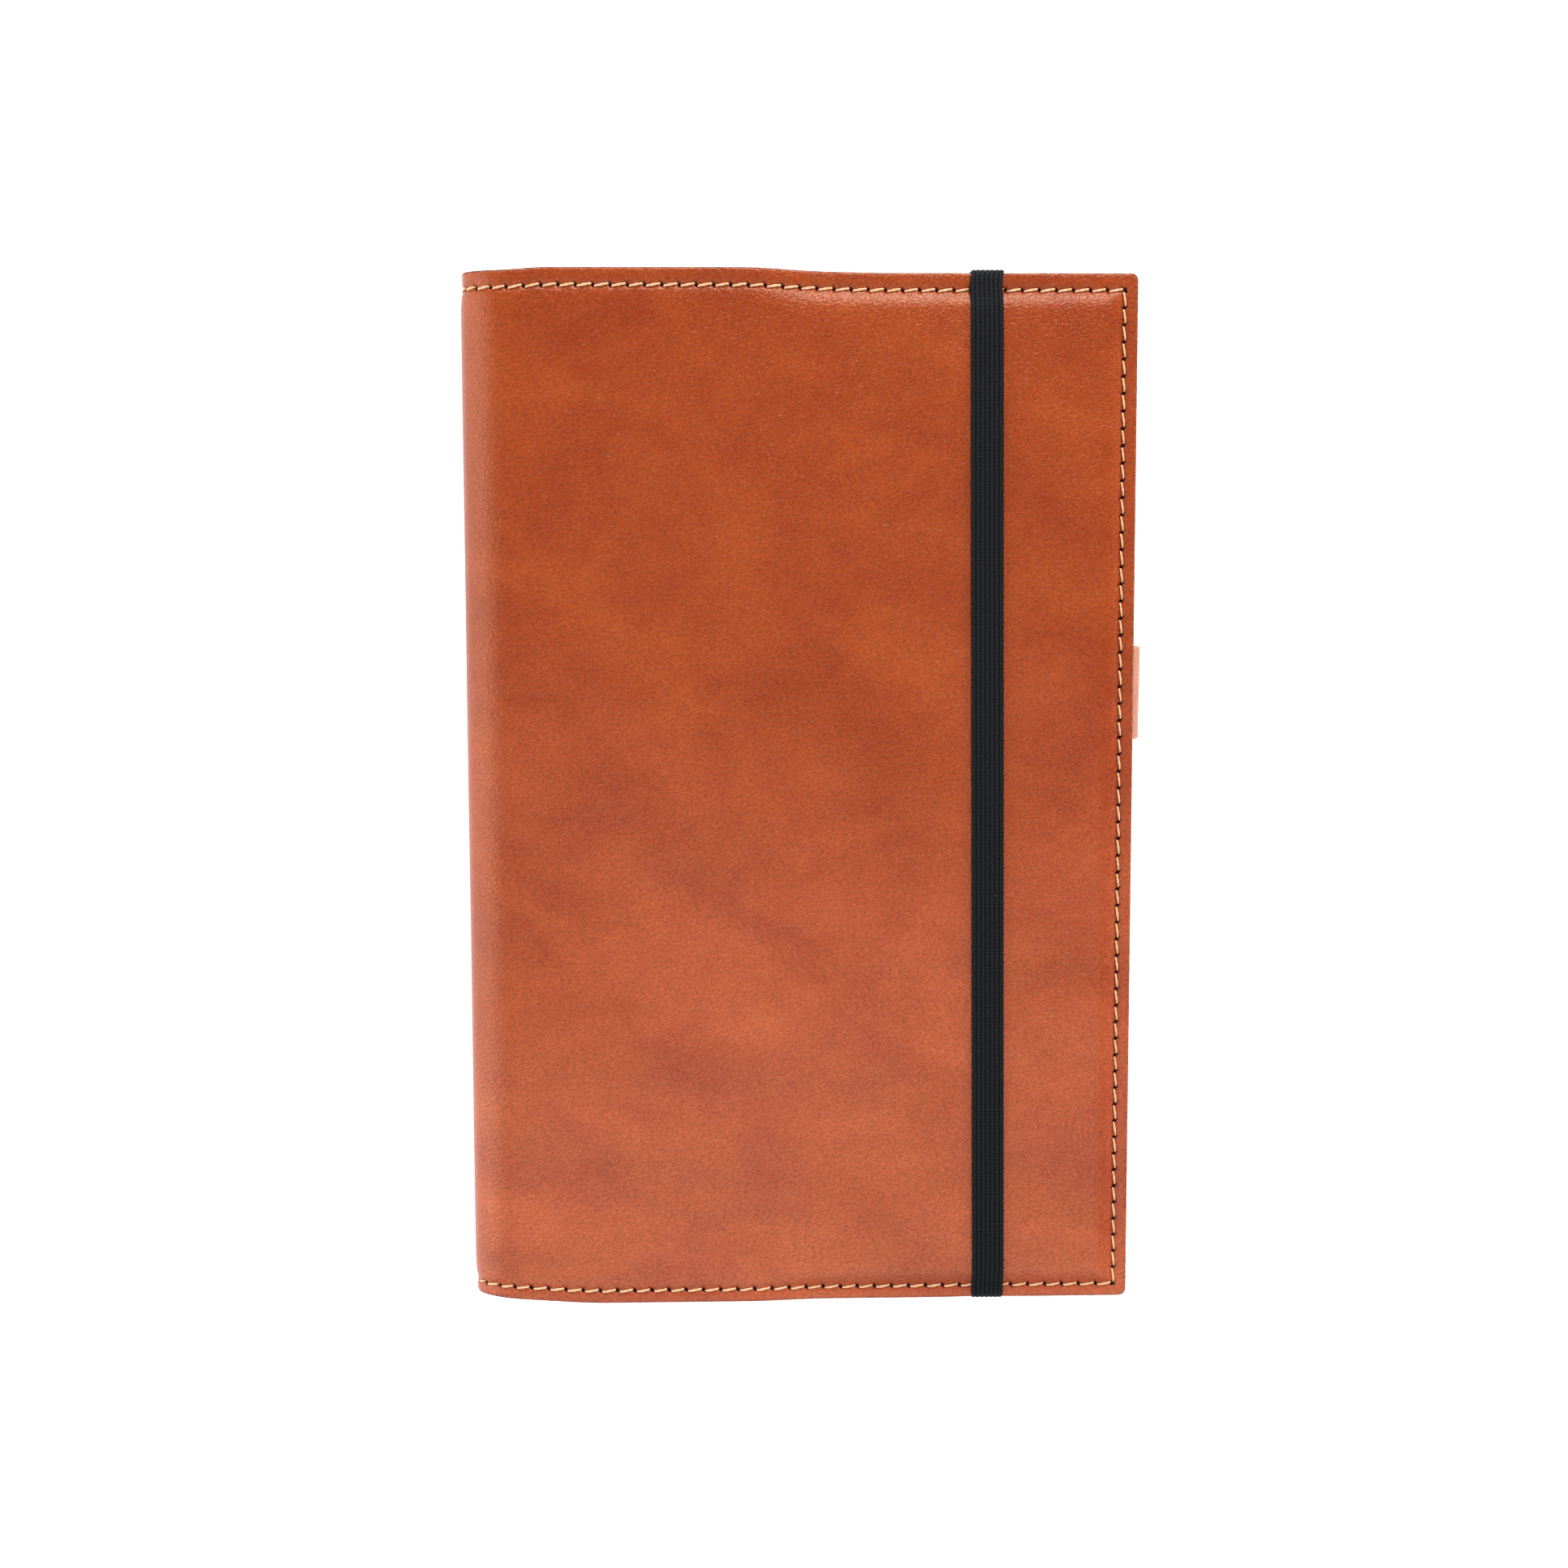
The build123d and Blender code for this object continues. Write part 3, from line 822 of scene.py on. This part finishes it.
def grained_leather(name, light, dark, roughness, edge=None, edge_depth=1.0, grain=1.0, painted_foot_sheen=None):
    """Tanned leather: fine slanting creases with painted shade in their valleys and painted light on their
    ridges, pores, soft blotches and burnished edges.

    painted_foot_sheen is how much lighter, and how much less saturated, the hide is painted towards the
    foot, as painted sheen and light.
    """
    leather = Shader(name, roughness, Specular_IOR_Level=0.45, Specular_Tint=(1.0, 0.84, 0.6, 1.0))
    creases = leather.noise(leather.flat((1.45, 0.85, 1.0), angle=30), 1.9, 2.0, 0.5, 0.5)
    pores = leather.node("ShaderNodeTexVoronoi", {"feature": "SMOOTH_F1"},
                         Vector=leather.flat(), Scale=2.3).outputs["Distance"]
    blotches = leather.noise(leather.flat((1.5, 1.0, 1.0), angle=-25), 0.05, 3.0, 0.55, 0.5)
    mottle = leather.noise(leather.flat((1.6, 1.0, 1.0), angle=25), 0.22, 4.0, 0.6, 0.4)
    broad = leather.math("MULTIPLY", blotches, 0.7)
    tone = leather.math("ADD", broad, leather.math("MULTIPLY", mottle, 0.3))
    colour = leather.mix(leather.ramp(tone, 0.34, 0.66), dark, light)
    # Painted shade and light: the creases darken the colour in their valleys and lighten it on their ridges.
    shade = leather.ramp(creases, 0.34, 0.66, 1 - 0.26 * grain, 1 + 0.18 * grain)
    saturation = 1.0
    # Painted sheen and light: the hide turns lighter and paler towards the foot, with soft bands across that
    # painted sheen.
    if painted_foot_sheen:
        wander = leather.noise(leather.flat((2.0, 1.0, 1.0), angle=-15), 0.02, 3.0, 0.5, 0.5)
        up = leather.component(leather.flat(), 1)
        height_up = leather.math("ADD", up, leather.ramp(wander, 0.3, 0.7, -40, 40))
        share = leather.ramp(height_up, 32, -75)
        bands = leather.noise(leather.flat((6.0, 1.0, 1.0), angle=-4), 0.07, 3.0, 0.5, 0.3)
        sheen_bands = leather.math("MULTIPLY", leather.ramp(bands, 0.35, 0.65, -0.06, 0.06), share)
        shade = leather.math("ADD", shade, sheen_bands)
        lighter, paler = painted_foot_sheen
        shade = leather.math("MULTIPLY", shade, leather.ramp(share, 0.0, 1.0, 1.0, lighter))
        saturation = leather.ramp(share, 0.0, 1.0, 1.0, paler)
    colour = leather.node("ShaderNodeHueSaturation", Saturation=saturation, Value=shade,
                          Color=colour).outputs["Color"]
    # The edge colour follows depth: real burnished rims, and painted shade in the needle slits wherever the
    # mark holds them.
    if edge:
        depth = leather.component(leather.flat(), 2)
        burnish_and_slit_shade = leather.ramp(depth, edge_depth * 0.25, edge_depth, 0.0, 1.0)
        colour = leather.mix(burnish_and_slit_shade, colour, edge)
    leather.drive("Base Color", colour)
    height = leather.math("ADD", creases, leather.math("MULTIPLY", pores, 0.1))
    leather.bump(height, 0.22 * grain)
    leather.drive("Roughness", leather.ramp(creases, 0.3, 0.7, roughness + 0.05, roughness - 0.04))
    return leather.material


def suede(name, light, dark):
    """The flesh side: short nap and faint clouds."""
    nap = Shader(name, 0.9, Sheen_Weight=0.25, Sheen_Roughness=0.5)
    clouds = nap.noise(nap.flat(), 0.12, 4.0, 0.6)
    fibres = nap.noise(nap.flat((2.0, 1.0, 1.0), angle=20), 3.2, 4.0, 0.7)
    colour = nap.mix(nap.ramp(clouds, 0.35, 0.65), dark, light)
    nap.drive("Base Color", nap.mix(nap.ramp(fibres, 0.35, 0.7, 0.0, 0.35), colour, dark))
    nap.bump(fibres, 0.12)
    return nap.material


def waxed_thread(name, light, dark):
    """Two twisted plies with fine fibres."""
    thread = Shader(name, 0.45)
    fibres = thread.noise(thread.flat((4.0, 1.0, 1.0)), 9.0, 3.0, 0.6)
    thread.drive("Base Color", thread.mix(thread.ramp(fibres, 0.3, 0.7), dark, light))
    thread.bump(fibres, 0.06)
    return thread.material


def woven(name, light, dark, warp, weft, roughness, depth):
    """A plain weave: threads over and under each other at the given pitches."""
    cloth = Shader(name, roughness, Sheen_Weight=0.12)
    flat = cloth.flat()
    across = cloth.math("SINE", cloth.math("MULTIPLY", cloth.component(flat, 0), 2 * math.pi / warp))
    down = cloth.math("SINE", cloth.math("MULTIPLY", cloth.component(flat, 1), 2 * math.pi / weft))
    weave = cloth.math("MULTIPLY", across, down)
    fuzz = cloth.noise(flat, 4.0, 3.0, 0.7)
    height = cloth.math("ADD", weave, cloth.math("MULTIPLY", fuzz, 0.6))
    cloth.drive("Base Color", cloth.mix(cloth.ramp(height, -0.6, 1.2), dark, light))
    cloth.bump(height, depth)
    return cloth.material


def elastic_cloth(rib_pitch):
    """Black ribbed elastic: close weft ridges, lighter grey on the higher weft and fibres, painted shade in
    the grooves between the ribs, and a little lint.
    """
    band = Shader("elastic", 0.7, Specular_IOR_Level=0.12)
    flat = band.flat()
    weft = band.math("SINE", band.math("MULTIPLY", band.component(flat, 1), 2 * math.pi / 0.42))
    fibres = band.noise(band.flat((1.0, 0.4, 1.0)), 3.0, 4.0, 0.7)
    lint = band.ramp(band.noise(flat, 1.6, 1.0, 0.4), 0.80, 0.84)
    height = band.math("ADD", band.math("MULTIPLY", weft, 0.5), fibres)
    rib = band.math("COSINE", band.math("MULTIPLY", band.component(flat, 0), 2 * math.pi / rib_pitch))
    colour = band.mix(band.ramp(height, 0.1, 1.3), rgb(7, 9, 11), rgb(35, 39, 43))
    # Painted shade: darker in the grooves between the ribs.
    colour = band.mix(band.ramp(rib, -0.2, -0.9, 0.0, 0.85), colour, rgb(4, 4, 5))
    band.drive("Base Color", band.mix(lint, colour, rgb(110, 102, 92)))
    band.bump(height, 0.1)
    return band.material


def paper(name, colour, shade):
    """Uncoated paper with faint fibres."""
    sheet = Shader(name, 0.8)
    fibres = sheet.noise(sheet.flat(), 1.4, 4.0, 0.7)
    sheet.drive("Base Color", sheet.mix(sheet.ramp(fibres, 0.3, 0.7, 0.0, 0.5), colour, shade))
    sheet.bump(fibres, 0.03)
    return sheet.material


def page_edges():
    """Cream paper whose leaves differ a little in tone."""
    sheet = Shader("pages", 0.8)
    flat = sheet.flat((400, 400, 0.6))
    tone = sheet.noise(flat, 1.0, 2.0, 0.5)
    dark, light = rgb(196, 186, 160), rgb(214, 205, 182)
    sheet.drive("Base Color", sheet.mix(sheet.ramp(tone, 0.35, 0.65), dark, light))
    sheet.bump(sheet.noise(sheet.flat(), 2.0, 3.0, 0.6), 0.03)
    return sheet.material


def striped(name, first, second, pitch):
    """Two thread colours in turn along a band."""
    band = Shader(name, 0.6)
    wave = band.math("SINE", band.math("MULTIPLY", band.component(band.flat(), 1), 2 * math.pi / pitch))
    fibres = band.noise(band.flat(), 3.0, 3.0, 0.6)
    band.drive("Base Color", band.mix(band.ramp(wave, -0.2, 0.2), first, second))
    band.bump(fibres, 0.05)
    return band.material


def plain_floor():
    """Near white, with a faint glow that keeps its shadows pale."""
    floor = Shader("pale_floor", 0.7, Base_Color=rgb(250, 250, 250), Emission_Color=rgb(255, 255, 255),
                   Emission_Strength=0.3)
    return floor.material


# ---- the build ----

def build():
    # The tan leather is painted lighter and paler towards its foot, as painted sheen and light.
    tan = grained_leather("tan_leather", rgb(146, 59, 19), rgb(128, 43, 10), roughness=0.36,
                          edge=rgb(58, 28, 18), edge_depth=0.5, painted_foot_sheen=(1.21, 0.955))
    flap = grained_leather("pocket_leather", rgb(166, 80, 40), rgb(150, 64, 28), roughness=0.45,
                           edge=rgb(66, 32, 20), edge_depth=9.0)
    natural = grained_leather("natural_leather", rgb(172, 118, 96), rgb(158, 102, 80), roughness=0.5,
                              grain=0.6)
    lining = suede("lining_suede", rgb(176, 122, 82), rgb(150, 98, 62))
    thread = waxed_thread("waxed_thread", rgb(228, 184, 144), rgb(198, 150, 108))
    cloth = woven("book_cloth", rgb(46, 46, 48), rgb(22, 22, 24), warp=0.5, weft=0.5, roughness=0.75,
                  depth=0.08)
    mull = woven("mull", rgb(232, 228, 216), rgb(190, 184, 168), warp=1.1, weft=1.1, roughness=0.85,
                 depth=0.1)
    endpaper = paper("endpaper", rgb(206, 198, 178), rgb(194, 185, 163))

    for k in range(len(folds)):
        cad = [f"spine_leather_{k}", f"spine_lining_{k}", f"spine_thread_{k}", f"notebook_spine_{k}"]
        if k == 0:
            cad = ["back_leather", "back_lining", "back_thread", None]
        leather = leather_piece(k, tan)
        suede_piece = inner_piece(f"suede_lining_{k + 1}", k, (lining_from + 0.02, lining_in),
                                  half=half_height - 0.3, edge_gap=0.3, radius=0.22,
                                  material=lining, soft=True)
        stitches = thread_piece(k, thread)
        case_cloth = inner_piece(f"case_cloth_{k + 1}", k, (lining_in + 0.03, lining_in + case_cloth_t),
                                 half=board_half - 0.1, edge_gap=back_length - hinge_cloth, radius=0.2,
                                 material=cloth, soft=False)
        pieces = [leather, suede_piece, stitches, case_cloth]
        depths = [lining_from, lining_in, lining_in, lining_in + case_cloth_t]
        for piece, deepest, node in zip(pieces, depths, cad):
            ride_or_bend(piece, k, deepest)
            if node:
                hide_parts(node)
    for stem, node in (("outer_leather", "front_leather"), ("suede_lining", "front_lining"),
                       ("seam_thread", "front_thread")):
        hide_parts(node)

    for front, side in ((False, "back"), (True, "front")):
        body = chain[-1] if front else chain[0]
        board_reach = (board_gap, back_length - board_back_gap)
        board = panel_sheet(f"{side}_board_in_cloth", front, board_reach, board_half,
                            radius=0.4, corner_r=5.0,
                            top=constant(lining_in + 0.03), bottom=constant(board_in),
                            material=cloth, soft=False)
        paper_reach = (board_gap + pastedown_margin, back_length - pastedown_back_gap)
        pastedown = panel_sheet(f"{side}_pastedown", front, paper_reach, board_half - pastedown_margin,
                                radius=0.05, corner_r=4.0,
                                top=constant(board_in + 0.01), bottom=constant(notebook_in),
                                material=endpaper, soft=False)
        flap_piece = pocket(f"{side}_pocket_flap", front, flap)
        for piece, node in ((board, f"notebook_{side}_board"), (pastedown, f"notebook_{side}_endpaper"),
                            (flap_piece, f"{side}_pocket")):
            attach(piece, body)
            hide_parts(node)

    block = leaves(page_edges())
    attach(block, chain[0])
    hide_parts("page_signatures")
    stripes = striped("headband_stripes", rgb(176, 52, 34), rgb(236, 226, 204), 1.8)
    for name, end in (("head_band", 1), ("tail_band", -1)):
        band = headband(name, end, stripes)
        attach(band, chain[0])
        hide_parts("headbands")
    spine_cloth = frame["nodes"]["block_spine_cloth"]
    spine_cloth.data.materials.clear()
    spine_cloth.data.materials.append(mull)

    loop = pen_loop(natural)
    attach(loop, chain[0])
    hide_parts("pen_loop")
    loop_thread = pen_loop_stitches(thread)
    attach(loop_thread, chain[0])
    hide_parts("pen_loop_thread")

    ribbon = elastic(elastic_cloth(2 * elastic_half_w / elastic_ribs))
    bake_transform(ribbon)
    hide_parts("elastic_band")


# ---- floor, light and camera ----

def studio():
    """A pale floor in soft light from all four sides. The fills add light but no highlights."""
    bpy.ops.mesh.primitive_plane_add(size=4.0, location=(0, 0, -0.0002))
    floor = bpy.context.object
    floor.name = "floor"
    floor.data.materials.append(plain_floor())
    world = bpy.data.worlds.new("studio")
    world.use_nodes = True
    background = world.node_tree.nodes["Background"]
    background.inputs["Color"].default_value = (1, 1, 1, 1)
    background.inputs["Strength"].default_value = 0.12
    bpy.context.scene.world = world
    # each light's name, place, size and power
    for name, place_at, size, power in (
        ("spine_softbox", (-1.1, -0.05, 0.45), (1.3, 0.8), 12.0),
        ("spine_fill", (-1.1, -0.1, 0.34), (1.3, 0.6), 6.0),
        ("foot_softbox", (0.05, -0.52, 0.74), (0.9, 0.7), 6.0),
        ("head_softbox", (0.1, 0.95, 0.42), (0.55, 0.45), 14.0),
        ("fore_edge_fill", (1.1, 0.1, 0.34), (0.8, 0.6), 15.0),
    ):
        light = bpy.data.lights.new(name, "AREA")
        light.shape = "RECTANGLE"
        light.size, light.size_y = size
        light.energy = power
        lamp = bpy.data.objects.new(name, light)
        lamp.location = place_at
        lamp.visible_glossy = not name.endswith("fill")
        lamp.rotation_euler = (-Vector(place_at)).to_track_quat("-Z", "Y").to_euler()
        bpy.context.scene.collection.objects.link(lamp)


def camera():
    """Held over the cover, a little towards its head, and tipped back towards its foot."""
    lens = bpy.data.cameras.new("camera")
    lens.lens, lens.sensor_width = 54.9, 36.0
    eye = bpy.data.objects.new("camera", lens)
    eye.location = (-0.0123, 0.0555, 0.5224)
    eye.rotation_euler = Euler((-0.1041, -0.0179, -0.0022))
    bpy.context.scene.collection.objects.link(eye)
    bpy.context.scene.camera = eye


build()
studio()
camera()
bpy.context.scene.view_settings.view_transform = "Standard"
